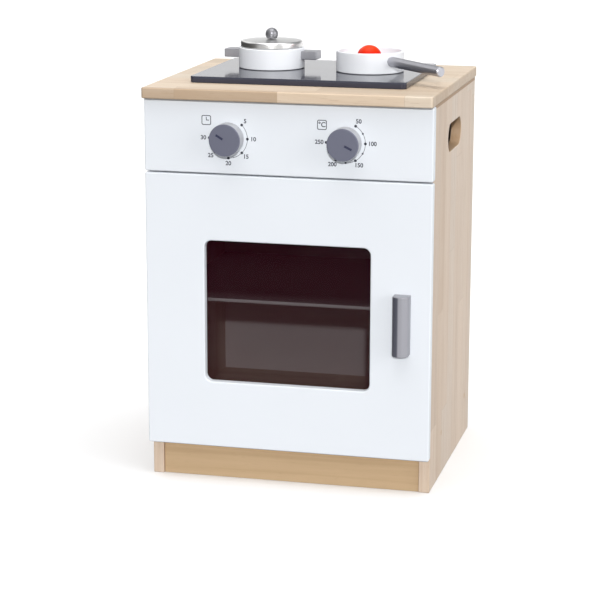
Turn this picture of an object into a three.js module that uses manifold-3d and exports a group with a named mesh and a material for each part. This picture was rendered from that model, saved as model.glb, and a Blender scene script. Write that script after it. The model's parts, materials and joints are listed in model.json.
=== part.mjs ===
// Toy kitchen: a small wooden cooker with an opening oven door, two turning dials,
// a lift-off saucepan with lid, a frying pan and a toy tomato.
// Millimetres. +X to the right seen from the front, +Y to the back, +Z up.
// The origin is on the floor under the middle of the whole, dial knobs included.
import * as THREE from 'three';
import { mergeVertices } from 'three/addons/utils/BufferGeometryUtils.js';
import Module from 'manifold-3d';

const wasm = await Module();
wasm.setup();

// ---- sizes -------------------------------------------------------------

const GAP = 0.3;                    // glue line or clearance left between neighbouring pieces
const ROUND = 48;                   // facets round a turned piece
const FINE = 16;                    // facets round a dowel, pin or screw

// cabinet
const WIDTH = 400;
const DEPTH = 360;
const WORKTOP_TOP = 551;
const WORKTOP_THICKNESS = 15;
const WORKTOP_BOTTOM = WORKTOP_TOP - WORKTOP_THICKNESS;
const BOARD = 15;                   // thickness of the solid wood boards
const SIDE_OUTER = 198;             // half the width over the side panels
const SIDE_INNER = SIDE_OUTER - BOARD;
const SIDE_FRONT = -150.4;
const SIDE_BACK = 178;
const SIDE_TOP = WORKTOP_BOTTOM - GAP;
const INSIDE = SIDE_INNER - GAP;    // half the length of the boards between the sides
const BACK_PANEL_FRONT = 170;
const BACK_PANEL_THICKNESS = 5;
const BOARD_BACK = BACK_PANEL_FRONT - GAP;
const FLOOR_THICKNESS = 18;
const FLOOR_TOP = 72.5;
const FLOOR_BOTTOM = FLOOR_TOP - FLOOR_THICKNESS;
const PLINTH_SETBACK = 3;
const CEILING_BOTTOM = 427;
const SHELF_TOP = 256;
const SHELF_THICKNESS = 5;
const SHELF_FRONT = -138;
const PEG_RADIUS = 3;
const PEG_Y = [-105, 135];
const DOWEL_RADIUS = 4;
const DOWEL_LENGTH = 34.7;
const DOWEL_Z = 61;
const DOWEL_Y = [-60, 138];

// finger slots in the side panels
const SLOT_LENGTH = 108;
const SLOT_HEIGHT = 39;
const SLOT_Y = 8;
const SLOT_Z = 475.5;

// white fronts
const FRONT_FACE = -168;
const FRONT_HALF_WIDTH = 199.5;
const FRONT_CORNER = 2.6;
const FRONT_EDGE = 2;
const PANEL_BOTTOM = 435.8;
const PANEL_TOP = WORKTOP_BOTTOM - GAP;
const PANEL_BACK = SIDE_FRONT - GAP;
const DOOR_BACK = -153;
const DOOR_BOTTOM = 50;
const DOOR_TOP = 433.8;

// oven window
const WINDOW_WIDTH = 232;
const WINDOW_HEIGHT = 199;
const WINDOW_Z = 243.2;
const WINDOW_CORNER = 10;
const PANE_REBATE = 8;              // how far the pane laps behind the opening
const PANE_REBATE_DEPTH = 4;
const PANE_THICKNESS = 3;

// door handle
const HANDLE_X = 160.6;
const HANDLE_BOTTOM = 199.5;
const HANDLE_LENGTH = 83.2;
const HANDLE_WIDTH = 23;
const HANDLE_DEPTH = 20;
const HANDLE_ROUNDING = 10;
const HANDLE_SCREW_SPACING = 56;

// hinges: one pin line down the left edge, between the door and the side panel
const HINGE_X = -197.8;
const HINGE_Y = -151.7;
const HINGE_Z = { lower: 112, upper: 372 };
const HINGE_LENGTH = 40;
const KNUCKLE_RADIUS = 2.2;
const PIN_RADIUS = 1;
const MIDDLE_KNUCKLE = 15.4;
const LEAF_THICKNESS = 0.8;
const LEAF_REACH = 13;
const LEAF_SCREW_SPREAD = 12;

// magnetic catch
const CATCH_X = 190.5;
const CATCH_Z = 300;
const MAGNET_RADIUS = 5;
const MAGNET_LENGTH = 9.5;
const MAGNET_PROUD = 1.5;
const STRIKE_RADIUS = 6;
const STRIKE_THICKNESS = 1;

// dials
const DIAL_X = 81;
const DIAL_Z = 484.4;
const KNOB_RADIUS = 22;
const KNOB_FACE = -188.6;
const KNOB_BACK = FRONT_FACE - 2 * GAP;
const POINTER = { start: 2.6, end: 14, width: 3.2, depth: 1.2 };
const SPINDLE_RADIUS = 4;
const SPINDLE_FRONT = -179.6;
const SPINDLE_BACK = PANEL_BACK + 0.5;
const STOP_RADIUS = 9;
const STOP_THICKNESS = 2.5;

// hob
const HOB_TOP = 560;
const HOB_WIDTH = 302;
const HOB_DEPTH = 234;
const HOB_Y = 3;
const HOB_CORNER = 7;

// cookware, turned in wood
const STANDING = HOB_TOP + GAP;
const POT_X = -68;
const POT_Y = 16.4;
const POT_TURN = -3.9;              // degrees, handles turned a little to the front right
const POT_RADIUS = 46.8;
const POT_INNER = 41.8;
const POT_HEIGHT = 28.8;
const POT_FLOOR = 5;
const TAB = { length: 21.5, width: 26, height: 11.6, z: 18.4, back: 4 };
const LID_RADIUS = 44;
const LID_Z = STANDING + POT_HEIGHT + GAP;
const LID_HEIGHT = 10.8;
const BALL_RADIUS = 9;
const BALL_FOOT = 6.6;                // radius where the ball is cut flat to stand on the lid
const BALL_Z = 606.9;
const BALL_STEPS = 11;
const PAN_X = 76.4;
const PAN_Y = 6.8;
const PAN_RADIUS = 47.6;
const PAN_INNER = 43.1;
const PAN_HEIGHT = 28.7;
const PAN_FLOOR = 4;
const PAN_HANDLE = { turn: -40, droop: 2.05, radius: 7, end: 154.2, z: 18.7 };
const TOMATO_RADIUS = 17.2;
const TOMATO_HALF_HEIGHT = 16.1;
const TOMATO_FLAT = 4.5;
const TOMATO_STEPS = 13;

// the knobs stand further out than the worktop's back edge, so the whole is moved back to centre it
const CENTRING = -(DEPTH / 2 + KNOB_FACE) / 2;

// ---- materials ---------------------------------------------------------

function material(color, roughness, metalness) {
  return new THREE.MeshStandardMaterial({ color, roughness, metalness });
}

const OILED_WOOD = material(0xd8c0a0, 0.55, 0);
const WHITE_PAINT = material(0xedf0f4, 0.35, 0);
const WHITE_BOARD = material(0xdedad6, 0.6, 0);
const GREY_PAINT = material(0x6e7080, 0.45, 0);
const SILVER_PAINT = material(0x8c8f98, 0.35, 0.5);
const HOB_LACQUER = material(0x33353d, 0.12, 0);
const SMOKED_ACRYLIC = material(0x2a1418, 0.08, 0);
const STEEL = material(0xb9bcc2, 0.28, 1);
const MAGNET = material(0x8f9196, 0.4, 1);
const TOMATO_RED = material(0xe03010, 0.3, 0);

// ---- helpers -----------------------------------------------------------

function toManifold(geometry) {
  const bare = geometry.clone();
  bare.deleteAttribute('normal');
  bare.deleteAttribute('uv');
  const welded = mergeVertices(bare, 1e-4);
  const vertProperties = new Float32Array(welded.attributes.position.array);
  const triVerts = new Uint32Array(welded.index.array);
  return new wasm.Manifold(new wasm.Mesh({ numProp: 3, vertProperties, triVerts }));
}

function fromManifold(solid) {
  const mesh = solid.getMesh();
  const geometry = new THREE.BufferGeometry();
  geometry.setAttribute('position', new THREE.BufferAttribute(mesh.vertProperties, 3));
  geometry.setIndex(new THREE.BufferAttribute(mesh.triVerts, 1));
  return geometry;
}

function cut(geometry, cutters) {
  let solid = toManifold(geometry);
  for (const cutter of cutters) {
    solid = solid.subtract(toManifold(cutter));
  }
  return fromManifold(solid);
}

function join(geometry, additions) {
  let solid = toManifold(geometry);
  for (const addition of additions) {
    solid = solid.add(toManifold(addition));
  }
  return fromManifold(solid);
}

function piece(name, geometry, look, x = 0, y = 0, z = 0) {
  const mesh = new THREE.Mesh(geometry, look);
  mesh.name = name;
  mesh.position.set(x, y, z);
  return mesh;
}

// a rectangle with rounded corners, centred on the origin, as a THREE.Shape or THREE.Path
function roundedOutline(target, width, height, radius) {
  const x = width / 2;
  const y = height / 2;
  target.moveTo(-x + radius, -y);
  target.lineTo(x - radius, -y);
  target.absarc(x - radius, -y + radius, radius, -Math.PI / 2, 0, false);
  target.lineTo(x, y - radius);
  target.absarc(x - radius, y - radius, radius, 0, Math.PI / 2, false);
  target.lineTo(-x + radius, y);
  target.absarc(-x + radius, y - radius, radius, Math.PI / 2, Math.PI, false);
  target.lineTo(-x, -y + radius);
  target.absarc(-x + radius, -y + radius, radius, Math.PI, Math.PI * 1.5, false);
  return target;
}

// a board lying in XY with its eased edges, thickness from z = 0 upwards
function board(width, height, thickness, radius, edge, hole = null) {
  const outline = roundedOutline(new THREE.Shape(), width, height, radius);
  if (hole) {
    outline.holes.push(hole);
  }
  const geometry = new THREE.ExtrudeGeometry(outline, {
    depth: thickness - 2 * edge,
    bevelEnabled: true,
    bevelThickness: edge,
    bevelSize: edge,
    bevelOffset: -edge,
    bevelSegments: 2,
    curveSegments: 4,
  });
  geometry.translate(0, 0, edge);
  return geometry;
}

// stand a lying board up to face the front: its thickness then runs towards -Y
function facingFront(geometry) {
  geometry.rotateX(Math.PI / 2);
  return geometry;
}

// stand a lying board up as a side: its length runs along Y, its thickness towards +X
function facingSide(geometry) {
  geometry.rotateX(Math.PI / 2);
  geometry.rotateZ(Math.PI / 2);
  return geometry;
}

function block(width, depth, height, x, y, z) {
  const geometry = new THREE.BoxGeometry(width, depth, height);
  geometry.translate(x, y, z);
  return geometry;
}

// a turned solid from its half profile, [radius, height] from the bottom of the axis to the top
function turned(profile, facets = ROUND) {
  const points = profile.map(([radius, height]) => new THREE.Vector2(radius, height));
  const geometry = new THREE.LatheGeometry(points, facets);
  geometry.rotateX(Math.PI / 2);
  return geometry;
}

function rod(radius, start, end, facets = FINE) {
  return turned([[0, start], [radius, start], [radius, end], [0, end]], facets);
}

function alongX(geometry) {
  geometry.rotateY(Math.PI / 2);
  return geometry;
}

function alongY(geometry) {
  geometry.rotateX(-Math.PI / 2);
  return geometry;
}

function placed(geometry, x, y, z) {
  geometry.translate(x, y, z);
  return geometry;
}

// a countersunk screw down its own axis from the top of its head at 0 to its point at length
function screwProfile(headRadius, headHeight, shankRadius, length, clearance) {
  return turned([
    [0, -clearance],
    [headRadius + clearance, -clearance],
    [headRadius + clearance, 0],
    [shankRadius + clearance, headHeight],
    [shankRadius + clearance, length - shankRadius],
    [shankRadius * 0.3 + clearance, length + clearance],
    [0, length + clearance],
  ], 16);
}

function screwSolid(headRadius, headHeight, shankRadius, length) {
  return turned([
    [0, 0],
    [headRadius, 0],
    [shankRadius, headHeight],
    [shankRadius, length - shankRadius],
    [shankRadius * 0.3, length],
    [0, length],
  ], 16);
}

// ---- screws and their holes ---------------------------------------------

const LEAF_SCREW = [2, 0.8, 1.2, 9.8];
const HANDLE_SCREW = [3.4, 2.4, 1.7, 28];

// a screw or its clearance hole driven towards the back (+1) or the front (-1)
function driven(geometry, direction, x, y, z) {
  geometry.rotateX(direction > 0 ? -Math.PI / 2 : Math.PI / 2);
  return placed(geometry, x, y, z);
}

const LEAF_SCREW_X = HINGE_X + 9.2;
const CABINET_LEAF_Y = SIDE_FRONT - GAP - LEAF_THICKNESS;
const DOOR_LEAF_Y = DOOR_BACK + GAP + LEAF_THICKNESS;

function leafScrewHeights(centre) {
  return [centre - LEAF_SCREW_SPREAD, centre + LEAF_SCREW_SPREAD];
}

function leafScrewHoles(direction, y) {
  const heights = Object.values(HINGE_Z).flatMap(leafScrewHeights);
  return heights.map((z) => (
    driven(screwProfile(...LEAF_SCREW, GAP), direction, LEAF_SCREW_X, y, z)
  ));
}

function handleScrewHoles() {
  const middle = HANDLE_BOTTOM + HANDLE_LENGTH / 2;
  return [-1, 1].map((side) => {
    const z = middle + side * HANDLE_SCREW_SPACING / 2;
    return driven(screwProfile(...HANDLE_SCREW, GAP), -1, HANDLE_X, DOOR_BACK - GAP / 2, z);
  });
}

// ---- cabinet -------------------------------------------------------------

function makeWorktop() {
  const geometry = board(WIDTH, DEPTH, WORKTOP_THICKNESS, 4, 2);
  return piece('worktop', geometry, OILED_WOOD, 0, 0, WORKTOP_BOTTOM);
}

function makeSidePanel(side) {
  const length = SIDE_BACK - SIDE_FRONT;
  const middle = (SIDE_BACK + SIDE_FRONT) / 2;
  const slot = roundedOutline(new THREE.Path(), SLOT_LENGTH, SLOT_HEIGHT, SLOT_HEIGHT / 2 - 0.01);
  const shift = new THREE.Vector2(SLOT_Y - middle, SLOT_Z - SIDE_TOP / 2);
  const slotPoints = slot.getPoints(6).map((point) => point.add(shift));
  const geometry = facingSide(board(length, SIDE_TOP, BOARD, 1.5, 1, new THREE.Path(slotPoints)));
  placed(geometry, side > 0 ? SIDE_INNER : -SIDE_OUTER, middle, SIDE_TOP / 2);
  const cutters = [];
  for (const y of PEG_Y) {
    const depth = 10 + GAP;
    const hole = alongX(rod(PEG_RADIUS + GAP, -1, depth));
    if (side < 0) {
      hole.rotateZ(Math.PI);
    }
    cutters.push(placed(hole, side * SIDE_INNER, y, SHELF_TOP - SHELF_THICKNESS - GAP - PEG_RADIUS));
  }
  for (const y of DOWEL_Y) {
    cutters.push(placed(alongX(rod(DOWEL_RADIUS + GAP, -20, 20)), side * (SIDE_OUTER - 8), y, DOWEL_Z));
  }
  if (side < 0) {
    for (const z of Object.values(HINGE_Z)) {
      cutters.push(block(6, 2.8, HINGE_LENGTH + 1, -SIDE_OUTER, SIDE_FRONT, z));
    }
    cutters.push(...leafScrewHoles(1, CABINET_LEAF_Y));
  } else {
    const seat = MAGNET_LENGTH - MAGNET_PROUD + GAP;
    cutters.push(placed(alongY(rod(MAGNET_RADIUS + GAP, -1, seat)), CATCH_X, SIDE_FRONT, CATCH_Z));
  }
  return piece(side > 0 ? 'side_panel_right' : 'side_panel_left', cut(geometry, cutters), OILED_WOOD);
}

function makePlinth() {
  const height = FLOOR_BOTTOM - GAP;
  const geometry = facingFront(board(2 * INSIDE, height, BOARD, 1.5, 1));
  return piece('plinth', geometry, OILED_WOOD, 0, SIDE_FRONT + PLINTH_SETBACK + BOARD, height / 2);
}

function makeBackPanel() {
  const height = SIDE_TOP - FLOOR_BOTTOM;
  const geometry = facingFront(board(2 * INSIDE, height, BACK_PANEL_THICKNESS, 1, 0.5));
  const y = BACK_PANEL_FRONT + BACK_PANEL_THICKNESS;
  return piece('back_panel', geometry, WHITE_BOARD, 0, y, FLOOR_BOTTOM + height / 2);
}

function makeOvenFloor() {
  const depth = BOARD_BACK - SIDE_FRONT;
  const middle = (BOARD_BACK + SIDE_FRONT) / 2;
  const geometry = placed(board(2 * INSIDE, depth, FLOOR_THICKNESS, 1.5, 1), 0, middle, FLOOR_BOTTOM);
  const cutters = [];
  for (const side of [-1, 1]) {
    for (const y of DOWEL_Y) {
      const x = side * (SIDE_OUTER - DOWEL_LENGTH / 2);
      const half = DOWEL_LENGTH / 2 + GAP;
      cutters.push(placed(alongX(rod(DOWEL_RADIUS + GAP, -half, half)), x, y, DOWEL_Z));
    }
  }
  return piece('oven_floor', cut(geometry, cutters), OILED_WOOD);
}

function makeOvenCeiling() {
  const depth = BOARD_BACK - SIDE_FRONT;
  const middle = (BOARD_BACK + SIDE_FRONT) / 2;
  const geometry = board(2 * INSIDE, depth, BOARD, 1.5, 1);
  return piece('oven_ceiling', geometry, OILED_WOOD, 0, middle, CEILING_BOTTOM);
}

function makeShelf() {
  const depth = BOARD_BACK - SHELF_FRONT;
  const geometry = board(2 * (INSIDE - 0.5), depth, SHELF_THICKNESS, 1.5, 0.8);
  const middle = (BOARD_BACK + SHELF_FRONT) / 2;
  return piece('oven_shelf', geometry, WHITE_BOARD, 0, middle, SHELF_TOP - SHELF_THICKNESS);
}

function makeShelfPegs(parent) {
  const z = SHELF_TOP - SHELF_THICKNESS - GAP - PEG_RADIUS;
  for (const [side, sideName] of [[-1, 'left'], [1, 'right']]) {
    for (const [index, endName] of [[0, 'front'], [1, 'back']]) {
      const geometry = alongX(rod(PEG_RADIUS, -8.5, 8.5));
      const x = side * (SIDE_INNER + 1.5);
      parent.add(piece(`shelf_peg_${sideName}_${endName}`, geometry, OILED_WOOD, x, PEG_Y[index], z));
    }
  }
}

function makeFloorDowels(parent) {
  for (const [side, sideName] of [[-1, 'left'], [1, 'right']]) {
    for (const [index, endName] of [[0, 'front'], [1, 'back']]) {
      const geometry = alongX(rod(DOWEL_RADIUS, -DOWEL_LENGTH / 2, DOWEL_LENGTH / 2));
      const name = `floor_dowel_${sideName}_${endName}`;
      const x = side * (SIDE_OUTER - DOWEL_LENGTH / 2);
      parent.add(piece(name, geometry, OILED_WOOD, x, DOWEL_Y[index], DOWEL_Z));
    }
  }
}

function makeControlPanel() {
  const height = PANEL_TOP - PANEL_BOTTOM;
  const thickness = PANEL_BACK - FRONT_FACE;
  const geometry = facingFront(board(2 * FRONT_HALF_WIDTH, height, thickness, FRONT_CORNER, FRONT_EDGE));
  placed(geometry, 0, PANEL_BACK, PANEL_BOTTOM + height / 2);
  const cutters = [-1, 1].map((side) => {
    const hole = alongY(rod(SPINDLE_RADIUS + GAP, -thickness, thickness, 32));
    return placed(hole, side * DIAL_X, FRONT_FACE, DIAL_Z);
  });
  cutters.forEach((hole) => hole.translate(0, thickness / 2, 0));
  return piece('control_panel', cut(geometry, cutters), WHITE_PAINT);
}

function makeMagnet() {
  const geometry = alongY(turned([
    [0, 0],
    [MAGNET_RADIUS - 0.6, 0],
    [MAGNET_RADIUS, 0.6],
    [MAGNET_RADIUS, MAGNET_LENGTH],
    [0, MAGNET_LENGTH],
  ], FINE));
  return piece('catch_magnet', geometry, MAGNET, CATCH_X, SIDE_FRONT - MAGNET_PROUD, CATCH_Z);
}

function makeHob() {
  const geometry = board(HOB_WIDTH, HOB_DEPTH, HOB_TOP - WORKTOP_TOP - GAP, HOB_CORNER, 1);
  return piece('hob_plate', geometry, HOB_LACQUER, 0, HOB_Y, WORKTOP_TOP + GAP);
}

// ---- hinges ----------------------------------------------------------------

// one leaf: a plate let between door and cabinet, with its share of the knuckles
function hingeLeaf(plateLow, plateHigh, knuckles, z) {
  const plateStart = KNUCKLE_RADIUS + GAP;
  const middle = (plateLow + plateHigh) / 2;
  const plateWidth = LEAF_REACH - plateStart;
  const plate = block(plateWidth, LEAF_THICKNESS, HINGE_LENGTH, plateStart + plateWidth / 2, middle, 0);
  const additions = [];
  for (const [low, high] of knuckles) {
    additions.push(rod(KNUCKLE_RADIUS, low, high));
    const neck = plateStart + 0.2;
    additions.push(block(neck, LEAF_THICKNESS, high - low, neck / 2, middle, (low + high) / 2));
  }
  const leaf = join(plate, additions);
  leaf.translate(HINGE_X, HINGE_Y, z);
  return leaf;
}

function makeHinge(cabinet, door, name, z) {
  const half = MIDDLE_KNUCKLE / 2;
  const cabinetPlate = [CABINET_LEAF_Y - HINGE_Y, CABINET_LEAF_Y + LEAF_THICKNESS - HINGE_Y];
  const doorPlate = [DOOR_LEAF_Y - LEAF_THICKNESS - HINGE_Y, DOOR_LEAF_Y - HINGE_Y];
  const bore = () => placed(rod(PIN_RADIUS + 0.1, -HINGE_LENGTH, HINGE_LENGTH), HINGE_X, HINGE_Y, z);
  const cabinetLeaf = hingeLeaf(...cabinetPlate, [[-half, half]], z);
  const doorLeaf = hingeLeaf(...doorPlate, [
    [-HINGE_LENGTH / 2, -half - GAP],
    [half + GAP, HINGE_LENGTH / 2],
  ], z);
  const holes = (direction, y) => leafScrewHeights(z).map((height) => (
    driven(screwProfile(...LEAF_SCREW, 0.2), direction, LEAF_SCREW_X, y, height)
  ));
  const cabinetHoles = holes(1, CABINET_LEAF_Y);
  const doorHoles = holes(-1, DOOR_LEAF_Y);
  cabinet.add(piece(`hinge_${name}_cabinet_leaf`, cut(cabinetLeaf, [bore(), ...cabinetHoles]), STEEL));
  door.add(piece(`hinge_${name}_door_leaf`, cut(doorLeaf, [bore(), ...doorHoles]), STEEL));
  const pin = rod(PIN_RADIUS, -HINGE_LENGTH / 2, HINGE_LENGTH / 2);
  cabinet.add(piece(`hinge_${name}_pin`, pin, STEEL, HINGE_X, HINGE_Y, z));
  for (const [index, place] of [[0, 'low'], [1, 'high']]) {
    const height = leafScrewHeights(z)[index];
    const cabinetScrew = driven(screwSolid(...LEAF_SCREW), 1, 0, 0, 0);
    const doorScrew = driven(screwSolid(...LEAF_SCREW), -1, 0, 0, 0);
    const at = (y) => [LEAF_SCREW_X, y, height];
    cabinet.add(piece(`hinge_${name}_cabinet_screw_${place}`, cabinetScrew, STEEL, ...at(CABINET_LEAF_Y)));
    door.add(piece(`hinge_${name}_door_screw_${place}`, doorScrew, STEEL, ...at(DOOR_LEAF_Y)));
  }
}

// ---- door ------------------------------------------------------------------

function makeDoor() {
  const height = DOOR_TOP - DOOR_BOTTOM;
  const middle = (DOOR_TOP + DOOR_BOTTOM) / 2;
  const opening = roundedOutline(new THREE.Path(), WINDOW_WIDTH, WINDOW_HEIGHT, WINDOW_CORNER);
  const shift = new THREE.Vector2(0, WINDOW_Z - middle);
  const points = opening.getPoints(5).map((point) => point.add(shift));
  const thickness = DOOR_BACK - FRONT_FACE;
  const hole = new THREE.Path(points);
  const slab = board(2 * FRONT_HALF_WIDTH, height, thickness, FRONT_CORNER, FRONT_EDGE, hole);
  const geometry = placed(facingFront(slab), 0, DOOR_BACK, middle);
  const rebateWidth = WINDOW_WIDTH + 2 * PANE_REBATE;
  const rebateHeight = WINDOW_HEIGHT + 2 * PANE_REBATE;
  const cutters = [block(rebateWidth, 2 * PANE_REBATE_DEPTH, rebateHeight, 0, DOOR_BACK, WINDOW_Z)];
  for (const z of Object.values(HINGE_Z)) {
    cutters.push(block(9, 3.2, HINGE_LENGTH + 1, -FRONT_HALF_WIDTH, DOOR_BACK, z));
  }
  cutters.push(...leafScrewHoles(-1, DOOR_LEAF_Y));
  cutters.push(...handleScrewHoles());
  const seat = STRIKE_THICKNESS + GAP;
  cutters.push(placed(alongY(rod(STRIKE_RADIUS + GAP, -seat, seat)), CATCH_X, DOOR_BACK, CATCH_Z));
  return piece('oven_door', cut(geometry, cutters), WHITE_PAINT);
}

function makePane() {
  const width = WINDOW_WIDTH + 2 * PANE_REBATE - 2 * GAP;
  const height = WINDOW_HEIGHT + 2 * PANE_REBATE - 2 * GAP;
  const geometry = facingFront(board(width, height, PANE_THICKNESS, 1, 0.3));
  const front = DOOR_BACK - PANE_REBATE_DEPTH + GAP;
  return piece('oven_window', geometry, SMOKED_ACRYLIC, 0, front + PANE_THICKNESS, WINDOW_Z);
}

// the handle's section: flat against the door, well rounded down both front edges
function makeHandle() {
  const half = HANDLE_WIDTH / 2;
  const r = HANDLE_ROUNDING;
  const outline = new THREE.Shape();
  outline.moveTo(-half, 0);
  outline.lineTo(-half, -HANDLE_DEPTH + r);
  outline.absarc(-half + r, -HANDLE_DEPTH + r, r, Math.PI, Math.PI * 1.5, false);
  outline.absarc(half - r, -HANDLE_DEPTH + r, r, Math.PI * 1.5, Math.PI * 2, false);
  outline.lineTo(half, 0);
  const geometry = new THREE.ExtrudeGeometry(outline, {
    depth: HANDLE_LENGTH - 3,
    bevelEnabled: true,
    bevelThickness: 1.5,
    bevelSize: 1.5,
    bevelOffset: -1.5,
    bevelSegments: 2,
    curveSegments: 8,
  });
  placed(geometry, HANDLE_X, FRONT_FACE - GAP, HANDLE_BOTTOM + 1.5);
  return piece('door_handle', cut(geometry, handleScrewHoles()), SILVER_PAINT);
}

function makeHandleScrews(door) {
  const middle = HANDLE_BOTTOM + HANDLE_LENGTH / 2;
  for (const [side, name] of [[-1, 'lower'], [1, 'upper']]) {
    const geometry = driven(screwSolid(...HANDLE_SCREW), -1, 0, 0, 0);
    const z = middle + side * HANDLE_SCREW_SPACING / 2;
    door.add(piece(`door_handle_screw_${name}`, geometry, STEEL, HANDLE_X, DOOR_BACK - GAP / 2, z));
  }
}

function makeStrike() {
  const geometry = alongY(rod(STRIKE_RADIUS, -STRIKE_THICKNESS, 0));
  return piece('catch_strike', geometry, STEEL, CATCH_X, DOOR_BACK, CATCH_Z);
}

// ---- dials -----------------------------------------------------------------

function makeDial(name, x, pointerDegrees) {
  const dial = new THREE.Group();
  dial.name = `${name}_dial`;
  dial.position.set(x, 0, DIAL_Z);
  const length = KNOB_BACK - KNOB_FACE;
  const body = turned([
    [0, 0],
    [KNOB_RADIUS - 0.8, 0],
    [KNOB_RADIUS, 0.8],
    [KNOB_RADIUS, length - 1.6],
    [KNOB_RADIUS - 0.5, length - 0.5],
    [KNOB_RADIUS - 1.6, length],
    [0, length],
  ]);
  body.rotateX(Math.PI / 2);
  body.translate(0, KNOB_BACK, 0);
  const groove = block(
    POINTER.end - POINTER.start,
    2 * POINTER.depth,
    POINTER.width,
    (POINTER.end + POINTER.start) / 2,
    KNOB_FACE,
    0,
  );
  groove.rotateY(-THREE.MathUtils.degToRad(pointerDegrees));
  const socket = alongY(rod(SPINDLE_RADIUS + GAP, SPINDLE_FRONT - 1, KNOB_BACK + 5, 32));
  dial.add(piece(`${name}_knob`, cut(body, [groove, socket]), GREY_PAINT));
  const shaft = alongY(rod(SPINDLE_RADIUS, SPINDLE_FRONT, SPINDLE_BACK, 32));
  const pilot = alongY(rod(1.5 + GAP, SPINDLE_BACK - 12, SPINDLE_BACK + 2, 16));
  dial.add(piece(`${name}_spindle`, cut(shaft, [pilot]), OILED_WOOD));
  const stopFront = SPINDLE_BACK + GAP;
  const stop = alongY(rod(STOP_RADIUS, stopFront, stopFront + STOP_THICKNESS, 32));
  const stopHole = alongY(rod(1.5 + GAP, stopFront - 2, stopFront + STOP_THICKNESS + 2, 16));
  dial.add(piece(`${name}_stop_washer`, cut(stop, [stopHole]), OILED_WOOD));
  const headFront = stopFront + STOP_THICKNESS + GAP;
  const screw = alongY(turned([
    [0, headFront - 13],
    [0.5, headFront - 13],
    [1.5, headFront - 11.5],
    [1.5, headFront],
    [3.4, headFront],
    [3.2, headFront + 1.4],
    [1.8, headFront + 2.2],
    [0, headFront + 2.2],
  ], 16));
  dial.add(piece(`${name}_screw`, screw, STEEL));
  return dial;
}

// ---- cookware ----------------------------------------------------------------

// a turned pan body: flat base, straight wall, eased rim
function vessel(radius, inner, height, floor) {
  return turned([
    [0, 0],
    [radius - 1.5, 0],
    [radius, 1.5],
    [radius, height - 1.2],
    [radius - 1.2, height],
    [inner + 1.2, height],
    [inner, height - 1.2],
    [inner, floor + 2],
    [inner - 2, floor],
    [0, floor],
  ]);
}

function makePotTab(side, name) {
  const start = POT_RADIUS - 4;
  const end = POT_RADIUS + TAB.length;
  const bar = board(end - start, TAB.width, TAB.height, 1.5, 1);
  placed(bar, (start + end) / 2, side * TAB.back, TAB.z - TAB.height / 2 + GAP);
  const hollow = turned([[0, -50], [POT_RADIUS + GAP, -50], [POT_RADIUS + GAP, 80], [0, 80]]);
  const tenon = placed(alongX(rod(2.5, POT_RADIUS - 4, POT_RADIUS + 6)), 0, 0, TAB.z + GAP);
  const geometry = join(cut(bar, [hollow]), [tenon]);
  if (side < 0) {
    geometry.rotateZ(Math.PI);
  }
  return piece(name, geometry, SILVER_PAINT, 0, 0, STANDING);
}

function makePot() {
  const pot = new THREE.Group();
  pot.name = 'saucepan';
  pot.position.set(POT_X, POT_Y, 0);
  pot.rotation.z = THREE.MathUtils.degToRad(POT_TURN);
  const body = vessel(POT_RADIUS, POT_INNER, POT_HEIGHT, POT_FLOOR);
  const mortises = [-1, 1].map((side) => {
    const reach = 4 + GAP;
    const hole = alongX(rod(2.5 + GAP, POT_RADIUS - reach, POT_RADIUS + 5));
    if (side < 0) {
      hole.rotateZ(Math.PI);
    }
    return placed(hole, 0, 0, TAB.z + GAP);
  });
  pot.add(piece('pot_body', cut(body, mortises), WHITE_PAINT, 0, 0, STANDING));
  pot.add(makePotTab(-1, 'pot_handle_left'));
  pot.add(makePotTab(1, 'pot_handle_right'));
  return pot;
}

function makeLid() {
  const lid = new THREE.Group();
  lid.name = 'saucepan_lid';
  lid.position.set(POT_X, POT_Y, LID_Z);
  const disc = turned([
    [0, -3],
    [36, -3],
    [37, -2],
    [37, 0],
    [LID_RADIUS - 1.2, 0],
    [LID_RADIUS, 1.2],
    [LID_RADIUS, 5.2],
    [LID_RADIUS - 0.8, 7.2],
    [LID_RADIUS - 2.4, 8.4],
    [LID_RADIUS - 4.6, 8.9],
    [24, 10.2],
    [0, LID_HEIGHT],
  ]);
  const hole = rod(2.3 + GAP, 0.8, 12);
  lid.add(piece('lid_disc', cut(disc, [hole]), STEEL));
  const ballZ = BALL_Z - LID_Z;
  const foot = ballZ - Math.sqrt(BALL_RADIUS ** 2 - BALL_FOOT ** 2);
  const profile = [[0, 1.1], [2.3, 1.1], [2.3, foot], [BALL_FOOT, foot]];
  const startAngle = Math.atan2(foot - ballZ, BALL_FOOT);
  for (let step = 1; step <= BALL_STEPS; step += 1) {
    const angle = startAngle + (Math.PI / 2 - startAngle) * step / BALL_STEPS;
    const radius = step === BALL_STEPS ? 0 : BALL_RADIUS * Math.cos(angle);
    profile.push([radius, ballZ + BALL_RADIUS * Math.sin(angle)]);
  }
  lid.add(piece('lid_knob', turned(profile, 28), SILVER_PAINT));
  return lid;
}

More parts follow.
